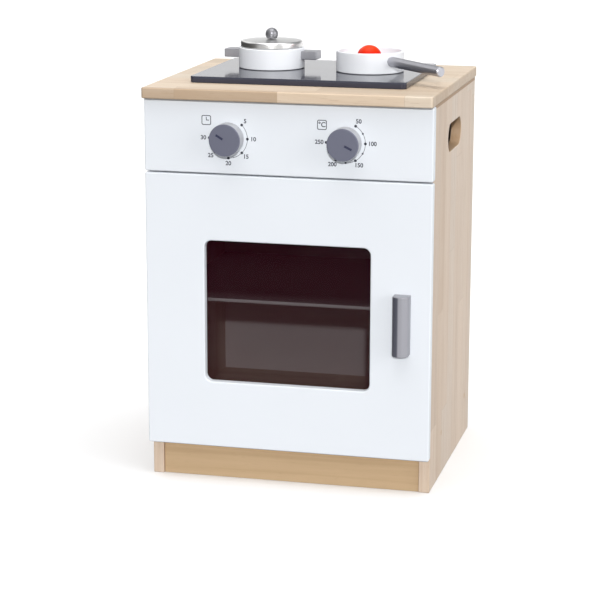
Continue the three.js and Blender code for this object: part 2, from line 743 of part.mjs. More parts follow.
function makePan() {
  const pan = new THREE.Group();
  pan.name = 'frying_pan';
  pan.position.set(PAN_X, PAN_Y, STANDING);
  pan.rotation.z = THREE.MathUtils.degToRad(PAN_HANDLE.turn);
  const body = vessel(PAN_RADIUS, PAN_INNER, PAN_HEIGHT, PAN_FLOOR);
  const mortise = alongX(rod(3.5 + GAP, PAN_RADIUS - 3.5 - GAP, PAN_RADIUS + 5));
  const droop = THREE.MathUtils.degToRad(PAN_HANDLE.droop);
  mortise.rotateY(droop);
  mortise.translate(0, 0, PAN_HANDLE.z);
  pan.add(piece('pan_body', cut(body, [mortise]), WHITE_PAINT));
  const r = PAN_HANDLE.radius;
  const bar = alongX(turned([
    [0, PAN_RADIUS - 4],
    [r, PAN_RADIUS - 4],
    [r, PAN_HANDLE.end - 1.2],
    [r - 1.2, PAN_HANDLE.end],
    [0, PAN_HANDLE.end],
  ], 40));
  const hollow = turned([[0, -50], [PAN_RADIUS + GAP, -50], [PAN_RADIUS + GAP, 50], [0, 50]]);
  const tenon = alongX(rod(3.5, PAN_RADIUS - 3.5, PAN_RADIUS + 8));
  bar.rotateY(droop);
  tenon.rotateY(droop);
  pan.add(piece('pan_handle', join(cut(bar, [hollow]), [tenon]), SILVER_PAINT, 0, 0, PAN_HANDLE.z));
  return pan;
}

function makeTomato() {
  const profile = [[0, 0]];
  const flat = Math.asin(TOMATO_FLAT / TOMATO_RADIUS);
  for (let step = 0; step <= TOMATO_STEPS; step += 1) {
    const angle = flat + (Math.PI - flat) * step / TOMATO_STEPS;
    const radius = step === TOMATO_STEPS ? 0 : TOMATO_RADIUS * Math.sin(angle);
    profile.push([radius, TOMATO_HALF_HEIGHT * (Math.cos(flat) - Math.cos(angle))]);
  }
  const z = STANDING + PAN_FLOOR + GAP;
  return piece('tomato', turned(profile, 32), TOMATO_RED, PAN_X - 1.2, PAN_Y, z);
}

// ---- assembly ----------------------------------------------------------------

function makeKitchen() {
  const kitchen = new THREE.Group();
  kitchen.name = 'toy_kitchen';
  kitchen.position.y = CENTRING;
  const cabinet = new THREE.Group();
  cabinet.name = 'cabinet';
  const door = new THREE.Group();
  door.name = 'door';
  cabinet.add(makeWorktop());
  cabinet.add(makeSidePanel(-1));
  cabinet.add(makeSidePanel(1));
  cabinet.add(makePlinth());
  cabinet.add(makeBackPanel());
  cabinet.add(makeOvenFloor());
  cabinet.add(makeOvenCeiling());
  cabinet.add(makeShelf());
  makeShelfPegs(cabinet);
  makeFloorDowels(cabinet);
  cabinet.add(makeControlPanel());
  cabinet.add(makeMagnet());
  cabinet.add(makeHob());
  door.add(makeDoor());
  door.add(makePane());
  door.add(makeHandle());
  makeHandleScrews(door);
  door.add(makeStrike());
  for (const [name, z] of Object.entries(HINGE_Z)) {
    makeHinge(cabinet, door, name, z);
  }
  kitchen.add(cabinet);
  kitchen.add(door);
  kitchen.add(makeDial('timer', -DIAL_X, 149));
  kitchen.add(makeDial('oven', DIAL_X, -26));
  kitchen.add(makePot());
  kitchen.add(makeLid());
  kitchen.add(makePan());
  kitchen.add(makeTomato());
  return kitchen;
}

export default makeKitchen();
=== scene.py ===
import json
import math
import bmesh
import bpy
from mathutils import Matrix, Vector

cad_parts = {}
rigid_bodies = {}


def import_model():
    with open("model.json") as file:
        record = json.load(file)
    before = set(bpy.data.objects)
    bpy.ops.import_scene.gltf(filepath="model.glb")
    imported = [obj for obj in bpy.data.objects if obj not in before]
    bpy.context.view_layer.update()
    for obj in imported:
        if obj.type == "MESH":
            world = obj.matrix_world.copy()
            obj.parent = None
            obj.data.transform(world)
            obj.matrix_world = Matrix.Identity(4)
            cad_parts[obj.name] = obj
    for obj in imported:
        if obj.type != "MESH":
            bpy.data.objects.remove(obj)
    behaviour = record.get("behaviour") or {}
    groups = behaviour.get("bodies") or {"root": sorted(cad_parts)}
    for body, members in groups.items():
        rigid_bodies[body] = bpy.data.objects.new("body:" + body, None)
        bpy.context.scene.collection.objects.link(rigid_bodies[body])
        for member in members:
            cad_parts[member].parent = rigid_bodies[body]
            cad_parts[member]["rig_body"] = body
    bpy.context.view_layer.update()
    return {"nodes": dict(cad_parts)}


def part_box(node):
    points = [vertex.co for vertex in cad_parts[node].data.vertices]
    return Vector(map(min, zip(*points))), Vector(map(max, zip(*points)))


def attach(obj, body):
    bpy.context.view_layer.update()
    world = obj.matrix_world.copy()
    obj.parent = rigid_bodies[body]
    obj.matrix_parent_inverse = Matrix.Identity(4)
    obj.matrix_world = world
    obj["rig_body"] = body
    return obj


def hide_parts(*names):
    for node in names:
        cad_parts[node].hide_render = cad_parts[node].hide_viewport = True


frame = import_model()

# ---- The view --------------------------------------------------------------------------------
# The cooker is seen from a little to its right and a little above, with a long lens, standing
# on a plain pale floor that runs far out behind it.
middle_y = sum(corner[1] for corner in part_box("worktop")) / 2
aim = Vector((-0.0221, middle_y, 0.2266))
turn, rise, lean = math.radians(13.74), math.radians(13.11), math.radians(0.13)
camera_away = 3.006
towards_camera = Vector((math.sin(turn) * math.cos(rise), -math.cos(turn) * math.cos(rise), math.sin(rise)))
rightwards = Vector((math.cos(turn), math.sin(turn), 0))
upwards = towards_camera.cross(rightwards)
lens = bpy.data.cameras.new("long_lens")
lens.lens = 124.9
lens.clip_end = 60
camera = bpy.data.objects.new("camera", lens)
bpy.context.scene.collection.objects.link(camera)
axes = Matrix((rightwards, upwards, towards_camera)).transposed() @ Matrix.Rotation(lean, 3, "Z")
camera.matrix_world = Matrix.Translation(aim + towards_camera * camera_away) @ axes.to_4x4()
bpy.context.scene.camera = camera
bpy.context.scene.view_settings.view_transform = "Standard"


class Value:
    """A value in a finish's node tree, so that shader sums are written as plain sums."""

    def __init__(self, finish, socket):
        self.finish = finish
        self.socket = socket

    def sum(self, operation, *others):
        return self.finish.sum(operation, self, *others)

    def __add__(self, other):
        return self.sum("ADD", other)

    def __sub__(self, other):
        return self.sum("SUBTRACT", other)

    def __mul__(self, other):
        return self.sum("MULTIPLY", other)

    def __truediv__(self, other):
        return self.sum("DIVIDE", other)

    def __pow__(self, other):
        return self.sum("POWER", other)

    def __gt__(self, other):
        return self.sum("GREATER_THAN", other)

    def __lt__(self, other):
        return self.sum("LESS_THAN", other)

    def __abs__(self):
        return self.sum("ABSOLUTE")

    def __radd__(self, other):
        return self.finish.sum("ADD", other, self)

    def __rsub__(self, other):
        return self.finish.sum("SUBTRACT", other, self)

    def __rmul__(self, other):
        return self.finish.sum("MULTIPLY", other, self)

    def floor(self):
        return self.sum("FLOOR")

    def part(self):
        return self.sum("FRACT")

    def output(self, name):
        return Value(self.finish, self.socket.node.outputs[name])


class Finish:
    """One material: its node tree, the place on the piece, and the shader at its end."""

    def __init__(self, name):
        self.material = bpy.data.materials.new(name)
        self.material.use_nodes = True
        self.tree = self.material.node_tree
        self.tree.nodes.clear()
        place = self.node("ShaderNodeTexCoord").output("Object")
        split = self.node("ShaderNodeSeparateXYZ", {}, {0: place})
        self.place = place
        self.x, self.y, self.z = split.output("X"), split.output("Y"), split.output("Z")

    def node(self, kind, settings=None, sockets=None, output=0):
        made = self.tree.nodes.new(kind)
        for setting, value in (settings or {}).items():
            setattr(made, setting, value)
        for key, value in (sockets or {}).items():
            if isinstance(value, Value):
                self.tree.links.new(value.socket, made.inputs[key])
            else:
                made.inputs[key].default_value = value
        return Value(self, made.outputs[output]) if made.outputs else made

    def sum(self, operation, *terms):
        return self.node("ShaderNodeMath", {"operation": operation}, dict(enumerate(terms)))

    def vector(self, x, y, z):
        return self.node("ShaderNodeCombineXYZ", {}, {0: x, 1: y, 2: z})

    def noise(self, place, scale=1.0, detail=2.0, rough=0.5, warp=0.0):
        shape = {"Scale": scale, "Detail": detail, "Roughness": rough, "Distortion": warp}
        return self.node("ShaderNodeTexNoise", {}, {"Vector": place, **shape})

    def chance(self, number):
        return self.node("ShaderNodeTexWhiteNoise", {"noise_dimensions": "1D"}, {"W": number})

    def between(self, value, low, high):
        settings = {"interpolation_type": "SMOOTHSTEP"}
        return self.node("ShaderNodeMapRange", settings, {0: value, 1: low, 2: high})

    def mix(self, amount, first, second, blend="MIX"):
        settings = {"data_type": "RGBA", "blend_type": blend}
        return self.node("ShaderNodeMix", settings, {0: amount, 6: first, 7: second}, output=2)

    def bump(self, height, strength, distance):
        sockets = {"Height": height, "Strength": strength, "Distance": distance}
        return self.node("ShaderNodeBump", {}, sockets)

    def shade(self, **sockets):
        named = {name.replace("_", " "): value for name, value in sockets.items()}
        shader = self.node("ShaderNodeBsdfPrincipled", {}, named)
        self.node("ShaderNodeOutputMaterial", {}, {"Surface": shader})
        return self.material


def wear(piece, material):
    piece.data.materials.clear()
    piece.data.materials.append(material)
    return piece


def floor_paint():
    finish = Finish("pale_floor")
    cloud = finish.noise(finish.place, 1.3, 3)
    colour = finish.mix(cloud, (0.93, 0.93, 0.935, 1), (0.95, 0.95, 0.95, 1))
    return finish.shade(Base_Color=colour, Roughness=0.8, Specular_IOR_Level=0.1)


shape = bmesh.new()
bmesh.ops.create_circle(shape, cap_ends=True, segments=96, radius=14)
floor_mesh = bpy.data.meshes.new("floor")
shape.to_mesh(floor_mesh)
shape.free()
floor = bpy.data.objects.new("floor", floor_mesh)
bpy.context.scene.collection.objects.link(floor)
floor.visible_diffuse = False
wear(floor, floor_paint())


# ---- The light -------------------------------------------------------------------------------
# A white studio: one small key lamp a little above the lens, broad soft lamps on the right, in
# front and overhead, and pale air. The floor throws no light back, and upright cards, white and
# black, are seen only in gloss and metal.
def studio_lamp(name, azimuth, height, spread, power):
    light = bpy.data.lights.new(name, "SUN")
    light.angle = math.radians(spread)
    light.energy = power
    lamp = bpy.data.objects.new(name, light)
    bpy.context.scene.collection.objects.link(lamp)
    lamp.rotation_euler = (math.radians(90 - height), 0, math.radians(azimuth))


studio_lamp("key_lamp", 13, 18.5, 1.5, 2.0)
studio_lamp("soft_right", 75, 14, 40, 1.25)
studio_lamp("soft_front", -10, 60, 50, 0.3)
studio_lamp("soft_overhead", 0, 88, 60, 1.9)
world = bpy.data.worlds.new("studio_air")
world.use_nodes = True
bpy.context.scene.world = world
air = world.node_tree.nodes["Background"]
air.inputs["Color"].default_value = (0.97, 0.98, 1.0, 1)
air.inputs["Strength"].default_value = 0.3


def card(name, width, height, centre, paint):
    """An upright sheet facing the cooker, seen only in gloss and metal."""
    shape = bmesh.new()
    bmesh.ops.create_grid(shape, x_segments=1, y_segments=1, size=0.5)
    bmesh.ops.scale(shape, vec=(width, height, 1), verts=shape.verts)
    bmesh.ops.rotate(shape, matrix=Matrix.Rotation(math.pi / 2, 3, "X"), verts=shape.verts)
    facing = Matrix.Rotation(math.atan2(centre[0], -centre[1]), 3, "Z")
    bmesh.ops.rotate(shape, matrix=facing, verts=shape.verts)
    bmesh.ops.translate(shape, vec=centre, verts=shape.verts)
    mesh = bpy.data.meshes.new(name)
    shape.to_mesh(mesh)
    shape.free()
    sheet = bpy.data.objects.new(name, mesh)
    bpy.context.scene.collection.objects.link(sheet)
    sheet.visible_camera = False
    sheet.visible_diffuse = False
    sheet.visible_shadow = False
    sheet.visible_transmission = False
    wear(sheet, paint)


black_cloth = Finish("black_cloth").shade(Base_Color=(0.02, 0.02, 0.022, 1), Roughness=0.9)
white_glow = Finish("white_glow").shade(
    Base_Color=(0, 0, 0, 1),
    Emission_Color=(1, 1, 1, 1),
    Emission_Strength=1.08,
)
card("black_card_front", 1.7, 0.35, (-0.75, -1.5, 0.155), black_cloth)
card("black_card_left", 2.0, 1.0, (-0.85, 0.07, 0.51), black_cloth)
card("white_card_left", 2.4, 1.2, (-1.3, 0.75, 1.6), white_glow)
card("white_card_behind", 5.4, 1.8, (0.3, 5, 0.9), white_glow)


# ---- Worktop ---------------------------------------------------------------------------------
# A solid slab of rubberwood staves glued side by side, finger-jointed end to end, its edges
# rounded over, sanded and thinly oiled. It lies on the two side panels and the left half of its
# front edge is one browner block.
PALE, TAN, BROWN = (0.73, 0.635, 0.52, 1), (0.5, 0.375, 0.255, 1), (0.36, 0.24, 0.145, 1)
SEAM_HALF, BUTT_HALF = 0.00022, 0.0002


def staves(finish, along, across, through, width, length, pale, tan):
    """Colour and height of glued staves: grain along one way, each block in its own tone."""
    row = (across / width + 0.31).floor()
    slide = finish.chance(row + 5.5)
    run = along / (length * (0.8 + 0.45 * slide)) + slide * 6
    block = run.floor()
    tone = finish.chance(row * 17.3 + block * 3.7 + 1.9)

    def drawn_out(lengthways, shift, crossways, *shape):
        place = finish.vector(along * lengthways + tone * shift, across * crossways, through * crossways)
        return finish.noise(place, 1.0, *shape)

    rings = abs((drawn_out(2.2, 31, 26, 3, 0.55, 0.6) * 7 + tone).part() - 0.5) * 2
    grain = drawn_out(9, 53, 310, 4, 0.65)
    dashes = finish.between(drawn_out(60, 17, 1300, 2, 0.5), 0.63, 0.72)
    streaks = finish.between(drawn_out(1.7, 41, 95, 2, 0.5, 0.3), 0.54, 0.72)
    blush = finish.chance(row * 5.1 + block * 11.3)
    colour = finish.mix(tone * tone * 0.5 + rings * 0.2 + grain * 0.24, pale, tan)
    colour = finish.mix(streaks * 0.5, colour, tan)
    colour = finish.mix(blush * 0.35, colour, (0.72, 0.53, 0.42, 1), "SOFT_LIGHT")
    colour = finish.mix(dashes * 0.34, colour, (0.34, 0.21, 0.12, 1))
    seam = abs((across / width + 0.31).part() - 0.5) > (0.5 - SEAM_HALF / width)
    butt = abs(run.part() - 0.5) > (0.5 - BUTT_HALF / length)
    joint = finish.sum("MAXIMUM", seam, butt)
    colour = finish.mix(joint * 0.4, colour, (0.3, 0.19, 0.11, 1))
    height = grain * 0.5 - dashes * 0.8 - joint * 0.6
    return colour, height, grain


def oiled(name, way, width, length, pale=PALE, tan=TAN, darker=None, stain_or_shade=BROWN):
    """Oiled rubberwood with its staves along x or z, and a darker stretch where a mask says."""
    finish = Finish(name)
    x, y, z = finish.x, finish.y, finish.z
    along, across, through = {"x": (x, y, z), "x_upright": (x, z, y), "z": (z, y, x)}[way]
    colour, height, grain = staves(finish, along, across, through, width, length, pale, tan)
    if darker:
        colour = finish.mix(darker(x, y, z), colour, stain_or_shade)
    return finish.shade(
        Base_Color=colour,
        Roughness=0.44 + grain * 0.16,
        Specular_IOR_Level=0.35,
        Normal=finish.bump(height, 0.35, 0.0002),
    )


def welded(node, name, body, sharp=50):
    """The node's own shape with its loose facets welded, so that its rounded edges shade softly."""
    shape = bmesh.new()
    shape.from_mesh(frame["nodes"][node].data)
    bmesh.ops.remove_doubles(shape, verts=shape.verts, dist=2e-6)
    bmesh.ops.dissolve_limit(shape, angle_limit=math.radians(0.4), verts=shape.verts, edges=shape.edges)
    return finished(shape, name, body, [node], sharp)


def finished(shape, name, body, nodes, sharp=50):
    """A bmesh made into a piece that rides on its body and stands for its nodes."""
    for edge in shape.edges:
        edge.smooth = len(edge.link_faces) == 2 and edge.calc_face_angle(0) < math.radians(sharp)
    for face in shape.faces:
        face.smooth = True
    mesh = bpy.data.meshes.new(name)
    shape.to_mesh(mesh)
    shape.free()
    piece = bpy.data.objects.new(name, mesh)
    bpy.context.scene.collection.objects.link(piece)
    even = piece.modifiers.new("flat_faces_stay_flat", "WEIGHTED_NORMAL")
    even.keep_sharp = True
    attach(piece, body)
    if nodes:
        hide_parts(*nodes)
    return piece


top_low, top_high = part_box("worktop")
BLOCK_END, EDGE_DEPTH, END_GRAIN = -0.01, 0.004, 0.001


def tan_block(x, y, z):
    """The left block of the front stave is a browner piece, and end grain drinks more oil."""
    browner = (x < BLOCK_END) * (y < top_low.y + EDGE_DEPTH)
    return browner * 0.6 + (abs(x) > top_high.x - END_GRAIN) * 0.3


worktop_wood = oiled("worktop_wood", "x", 0.047, 0.26, darker=tan_block)
wear(welded("worktop", "worktop_slab", "cabinet"), worktop_wood)


# ---- Cabinet boards --------------------------------------------------------------------------
# Side panels of upright staves with a hand hole cut through near the top, and between them a
# plinth, an oven floor and an oven ceiling, glued and dowelled, all of oiled wood. The sides
# carry a painted shadow under the worktop's overhang, and the plinth is painted darker, as
# painted shade under the door.
side_low, side_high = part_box("side_panel_right")
HOLE_Y, HOLE_REACH = 0.0123, 0.056
HOLE_Z, HOLE_HALF = 0.4755, 0.0205
SKIN, SHADOW_BAND, FADE_TOP = 0.0006, 0.0046, 0.45


def rim_and_shadow(x, y, z):
    """Darker: the raw edge of the hand hole, a painted shadow under the worktop's overhang, and towards the
    foot.
    """
    within = (abs(x) < side_high.x - SKIN) * (abs(x) > side_low.x + SKIN)
    reveal = within * (abs(z - HOLE_Z) < HOLE_HALF) * (abs(y - HOLE_Y) < HOLE_REACH)
    # painted shadow: a band at the top of each side is darkened where the worktop's overhang shades it
    overhang_shadow = z > side_high.z - SHADOW_BAND
    return reveal * 0.75 + overhang_shadow * 0.85 + (FADE_TOP - z) * 0.2


pale_side, tan_side = (0.73, 0.63, 0.535, 1), (0.54, 0.41, 0.3, 1)
raw_edge_and_shadow = (0.34, 0.2, 0.09, 1)
for side in ("left", "right"):
    panel = welded(f"side_panel_{side}", f"{side}_side", "cabinet")
    side_wood = oiled(f"{side}_side_wood", "z", 0.043, 0.6, pale_side, tan_side, rim_and_shadow, raw_edge_and_shadow)
    wear(panel, side_wood)
kick = welded("plinth", "kick_board", "cabinet")
# painted shade: the kick board's wood gets darker colours, standing for the shade under the door
kick_wood = oiled("kick_board_wood", "x_upright", 0.06, 0.5, (0.56, 0.4, 0.24, 1), (0.44, 0.3, 0.165, 1))
wear(kick, kick_wood)
inside_wood = oiled("inside_wood", "x", 0.05, 0.3)
for node in ("oven_floor", "oven_ceiling"):
    wear(welded(node, f"{node}_board", "cabinet"), inside_wood)
dowel_wood = oiled("dowel_wood", "x", 0.2, 0.9, (0.6, 0.44, 0.28, 1), (0.46, 0.31, 0.18, 1))
for side in ("left", "right"):
    for end in ("front", "back"):
        for kind in ("shelf_peg", "floor_dowel"):
            node = f"{kind}_{side}_{end}"
            wear(welded(node, f"{node}_birch", "cabinet", 40), dowel_wood)


# ---- Back panel and shelf --------------------------------------------------------------------
# Thin fibreboard with a matt off-white face: the back is let in between the sides. The shelf
# rests on four pegs halfway up the oven, and its upper face is painted dark brown as painted
# shade, with painted light making it lighter towards the front.
shelf_low, shelf_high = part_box("oven_shelf")
NEVER, LIT_FRONT_DEPTH = 9.0, 0.05


def white_board(name, shade_above=NEVER):
    """Off-white board; above a height it is painted dark as painted shade, lighter at the front as painted
    light.
    """
    finish = Finish(name)
    fibre = finish.noise(finish.place, 420, 4, 0.6)
    cloud = finish.noise(finish.place, 9, 2)
    colour = finish.mix(cloud * 0.6 + fibre * 0.3, (0.84, 0.79, 0.8, 1), (0.78, 0.73, 0.74, 1))
    # painted light and shade: the shelf's upper face is dark as shade and lighter towards its front edge
    painted_front_light = finish.between(finish.y, shelf_low.y + LIT_FRONT_DEPTH, shelf_low.y)
    painted_shade_top = finish.mix(painted_front_light * 0.8 + fibre * 0.1, (0.055, 0.02, 0.026, 1), (0.34, 0.27, 0.28, 1))
    colour = finish.mix(finish.z > shade_above, colour, painted_shade_top)
    relief = finish.bump(fibre, 0.12, 0.0001)
    return finish.shade(Base_Color=colour, Roughness=0.55 + fibre * 0.15, Normal=relief)


wear(welded("back_panel", "back_board", "cabinet"), white_board("back_face"))
shelf_face = white_board("shelf_face", shelf_high.z - 0.0004)
wear(welded("oven_shelf", "shelf_board", "cabinet"), shelf_face)


# ---- White fronts ----------------------------------------------------------------------------
# Control panel and oven door: fibreboard with softened edges, sprayed satin white. The paint
# lies very slightly uneven, like fine orange peel.
def white_paint(name, base=(0.79, 0.82, 0.86, 1), roughness=0.36):
    finish = Finish(name)
    peel = finish.noise(finish.place, 700, 2, 0.5)
    cloud = finish.noise(finish.place, 6, 3, 0.5)
    deeper = tuple(c * 0.965 for c in base[:3]) + (1,)
    colour = finish.mix(cloud, base, deeper)
    return finish.shade(
        Base_Color=colour,
        Roughness=roughness + cloud * 0.08,
        Specular_IOR_Level=0.4,
        Normal=finish.bump(peel, 0.06, 0.00008),
    )


front_paint = white_paint("front_paint")
wear(welded("control_panel", "control_front", "cabinet"), front_paint)
wear(welded("oven_door", "door_front", "door"), front_paint)


# ---- Window pane -----------------------------------------------------------------------------
# One sheet of acrylic tinted dark brown, glued in a rebate behind the opening in the door. It is
# clear enough for the lit oven walls and the shelf to show through.
def smoked():
    finish = Finish("smoked_sheet")
    haze = finish.noise(finish.place, 14, 3)
    return finish.shade(
        Base_Color=finish.mix(haze, (0.02, 0.001, 0.004, 1), (0.026, 0.0015, 0.006, 1)),
        Roughness=0.04 + haze * 0.03,
        Specular_IOR_Level=0.1,
        Alpha=0.4 + haze * 0.03,
    )


wear(welded("oven_window", "smoked_pane", "door"), smoked())


# ---- Door handle -----------------------------------------------------------------------------
# A short upright bar of wood with a well-rounded front, sprayed metallic silver grey, held from
# behind by two countersunk screws through the door. Its left flank, below the top, is painted
# darker as painted shade.
def silver_paint(name, base, metallic, roughness, face=None):
    """Metallic grey; with a face given, all in front of that place along y is painted darker as painted
    shade.
    """
    finish = Finish(name)
    flake = finish.noise(finish.place, 2600, 2, 0.6)
    cloud = finish.noise(finish.place, 25, 3)
    lighter = tuple(min(1, c * 1.35) for c in base[:3]) + (1,)
    colour = finish.mix(flake * 0.6 + cloud * 0.2, base, lighter)
    if face:
        shaded_face_colour = finish.mix(flake * 0.6 + cloud * 0.2, (0.13, 0.135, 0.18, 1), (0.17, 0.176, 0.235, 1))
        # painted shade: the front face takes a darker copy of the paint while the sides stay lighter
        colour = finish.mix(finish.between(finish.y, face, face - 0.0006), colour, shaded_face_colour)
    return finish.shade(
        Base_Color=colour,
        Metallic=metallic,
        Roughness=roughness + flake * 0.08,
        Normal=finish.bump(flake, 0.08, 0.00003),
    )


bar_paint = silver_paint("bar_paint", (0.4, 0.4, 0.43, 1), 0.85, 0.3)
pull_low, pull_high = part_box("door_handle")
FLANK, FLANK_END, CAP, CAP_END = 0.0105, 0.0075, 0.0009, 0.0016
pull_paint = Finish("pull_paint")
flake = pull_paint.noise(pull_paint.place, 2600, 2, 0.6)
lit = pull_paint.mix(flake, (0.28, 0.28, 0.31, 1), (0.34, 0.34, 0.37, 1))
shaded = pull_paint.mix(flake, (0.065, 0.068, 0.09, 1), (0.09, 0.093, 0.12, 1))
# painted shade: the flank turned away from the light takes the darker copy of the paint
shaded_flank = pull_paint.between(pull_paint.x, pull_low.x + FLANK, pull_low.x + FLANK_END)
on_side = pull_paint.between(pull_paint.z, pull_high.z - CAP, pull_high.z - CAP_END)
pull_colour = pull_paint.mix(shaded_flank * on_side, lit, shaded)
pull_silver = pull_paint.shade(Base_Color=pull_colour, Metallic=0.25, Roughness=0.4 + flake * 0.08)
wear(welded("door_handle", "door_pull", "door", 40), pull_silver)


# ---- Screws, hinges and catch ----------------------------------------------------------------
# Bright zinc-plated butt hinges, wood screws and strike disc, and a small nickel-plated magnet,
# all a little unevenly dulled by handling.
def plated(name, base=(0.62, 0.63, 0.65, 1)):
    finish = Finish(name)
    smear = finish.noise(finish.vector(finish.x * 90, finish.y * 90, finish.z * 900), 1.0, 3)
    return finish.shade(
        Base_Color=finish.mix(smear, base, tuple(c * 0.8 for c in base[:3]) + (1,)),
        Metallic=1.0,
        Roughness=0.24 + smear * 0.16,
    )


zinc = plated("zinc_plate")
for node, piece in frame["nodes"].items():
    if node.startswith("hinge_") or node.endswith(("_screw", "_screw_lower", "_screw_upper")):
        body = piece["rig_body"]
        wear(welded(node, f"{node}_plated", body, 40), zinc)
wear(welded("catch_strike", "strike_disc", "door", 40), zinc)
nickel = plated("nickel", (0.5, 0.5, 0.49, 1))
wear(welded("catch_magnet", "nickel_magnet", "cabinet", 40), nickel)


# ---- Dial knobs ------------------------------------------------------------------------------
# Two turned wooden discs sprayed satin silver grey, their front faces painted darker blue-grey as
# painted shade, on wooden spindles held behind the panel. A short groove in each face, filled
# with dark paint, is the pointer.
knob_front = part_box("timer_knob")[0].y
knob_paint = silver_paint("knob_paint", (0.4, 0.405, 0.43, 1), 0.3, 0.38, face=knob_front + 0.0014)
pointer_paint = Finish("pointer_paint")
grime = pointer_paint.noise(pointer_paint.place, 900, 3)
ink = pointer_paint.mix(grime, (0.012, 0.014, 0.045, 1), (0.03, 0.032, 0.075, 1))
pointer_ink = pointer_paint.shade(Base_Color=ink, Roughness=0.5)
POINTER = {"length": 0.0112, "depth": 0.0006, "width": 0.0031, "middle": 0.0083}
for dial, pointing in (("timer", 149), ("oven", -26)):
    body = f"{dial}_dial"
    wear(welded(f"{dial}_knob", f"{dial}_grip", body, 40), knob_paint)
    wear(welded(f"{dial}_spindle", f"{dial}_shaft", body, 40), dowel_wood)
    wear(welded(f"{dial}_stop_washer", f"{dial}_washer", body, 40), dowel_wood)
    low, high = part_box(f"{dial}_knob")
    shape = bmesh.new()
    bmesh.ops.create_cube(shape, size=1)
    bar = (POINTER["length"], POINTER["depth"], POINTER["width"])
    bmesh.ops.scale(shape, vec=bar, verts=shape.verts)
    bmesh.ops.translate(shape, vec=(POINTER["middle"], 0, 0), verts=shape.verts)
    bmesh.ops.rotate(shape, matrix=Matrix.Rotation(-math.radians(pointing), 3, "Y"), verts=shape.verts)
    middle = ((low.x + high.x) / 2, low.y + 0.0004, (low.z + high.z) / 2)
    bmesh.ops.translate(shape, vec=middle, verts=shape.verts)
    wear(finished(shape, f"{dial}_pointer", body, []), pointer_ink)


# ---- Printed scales --------------------------------------------------------------------------
# Dots, a thin arc and numbers screen-printed in dark ink round each dial: minutes on the timer,
# degrees on the oven, each with a small outlined sign at its upper left.
def ink_disc(shape, x, z, radius):
    size = {"segments": 24, "radius1": radius, "radius2": radius, "depth": 0.0001}
    dot = bmesh.ops.create_cone(shape, cap_ends=True, **size)["verts"]
    bmesh.ops.rotate(shape, matrix=Matrix.Rotation(math.pi / 2, 3, "X"), verts=dot)
    bmesh.ops.translate(shape, vec=(x, 0, z), verts=dot)


def ink_bar(shape, start, end, width):
    start, end = Vector(start), Vector(end)
    stroke = bmesh.ops.create_cube(shape, size=1)["verts"]
    bmesh.ops.scale(shape, vec=((end - start).length + width, 0.0001, width), verts=stroke)
    tilt = math.atan2(end.y - start.y, end.x - start.x)
    bmesh.ops.rotate(shape, matrix=Matrix.Rotation(-tilt, 3, "Y"), verts=stroke)
    bmesh.ops.translate(shape, vec=((start.x + end.x) / 2, 0, (start.y + end.y) / 2), verts=stroke)


def ink_arc(shape, x, z, radius, start, end, width, steps=40):
    angles = [math.radians(start + (end - start) * step / steps) for step in range(steps + 1)]
    points = [(x + radius * math.cos(a), z + radius * math.sin(a)) for a in angles]
    for near, far in zip(points, points[1:]):
        ink_bar(shape, near, far, width)


def ink_text(shape, words, x, z, size):
    """Numbers set in the plain built-in type, made a thin solid and stood up facing the front."""
    font = bpy.data.curves.new("numbers", "FONT")
    font.body = words
    font.size = size
    font.extrude = 0.00005
    font.offset = 0.0002
    font.align_x, font.align_y = "CENTER", "CENTER"
    holder = bpy.data.objects.new("numbers", font)
    bpy.context.scene.collection.objects.link(holder)
    graph = bpy.context.evaluated_depsgraph_get()
    letters = bpy.data.meshes.new_from_object(holder.evaluated_get(graph))
    letters.transform(Matrix.Translation((x, 0, z)) @ Matrix.Rotation(math.pi / 2, 4, "X"))
    shape.from_mesh(letters)
    bpy.data.objects.remove(holder)
    bpy.data.meshes.remove(letters)


def ink_sign(shape, x, z, size, line):
    """A small square outline with rounded corners."""
    reach, corner = size / 2, size * 0.16
    straight = reach - corner
    for sx, sz, start in ((1, 1, 0), (-1, 1, 90), (-1, -1, 180), (1, -1, 270)):
        ink_arc(shape, x + sx * straight, z + sz * straight, corner, start, start + 90, line, 6)
    for side in (-1, 1):
        ink_bar(shape, (x - straight, z + side * reach), (x + straight, z + side * reach), line)
        ink_bar(shape, (x + side * reach, z - straight), (x + side * reach, z + straight), line)


